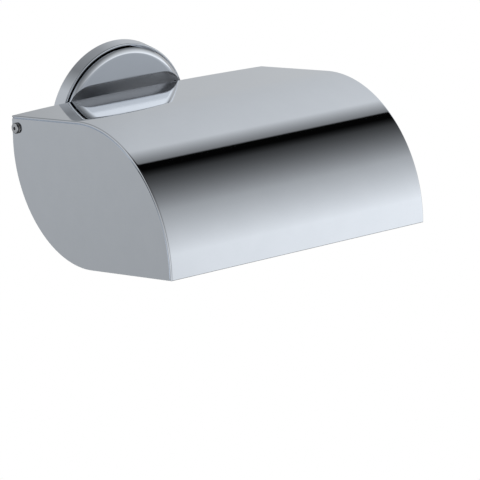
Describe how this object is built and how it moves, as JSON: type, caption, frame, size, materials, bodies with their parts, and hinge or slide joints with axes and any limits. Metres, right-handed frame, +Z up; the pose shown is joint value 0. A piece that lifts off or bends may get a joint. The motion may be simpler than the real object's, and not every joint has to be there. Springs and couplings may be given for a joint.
{
  "type": "toilet paper holder",
  "caption": "Wall-mounted toilet paper holder: round flange, arm, bent roll bar and a hinged, curved chrome cover with leaf-shaped sides.",
  "frame": {"origin": "centre of the wall plate's back face, on the wall", "axes": "+Y into the wall, square to the wall face; -Y towards the user; +X along the cover's width; +Z up"},
  "size_m": [0.1324, 0.1216, 0.0705],
  "materials": {
    "chrome": "polished",
    "chrome_cover": "polished sheet",
    "zinc_steel": "zinc plated",
    "bright_steel": "polished",
    "dark_steel": "oxidised",
    "nylon": "matte",
    "rubber": "matte"
  },
  "bodies": {
    "bracket": {"wall_plate": "zinc_steel", "flange_ring": "chrome", "flange_body": "chrome", "arm": "chrome", "arm_grub_screw": "dark_steel", "hinge_bar": "chrome", "hinge_bar_screw": "dark_steel", "roll_bar": "chrome", "roll_bar_set_screw": "dark_steel", "roll_bar_end_cap": "chrome", "pivot_screw_left": "bright_steel", "pivot_screw_right": "bright_steel", "stop_buffer_left": "rubber", "stop_buffer_right": "rubber"},
    "cover": {"cover_sheet": "chrome_cover", "cover_cheek_left": "chrome_cover", "cover_cheek_right": "chrome_cover", "pivot_bush_left": "nylon", "pivot_bush_right": "nylon"}
  },
  "joints": [
    {"name": "cover_hinge", "type": "hinge", "parent": "bracket", "child": "cover", "pos_m": [0, -0.02047, 0.0106], "axis": [-1, 0, 0], "range_deg": [0, 85]}
  ]
}
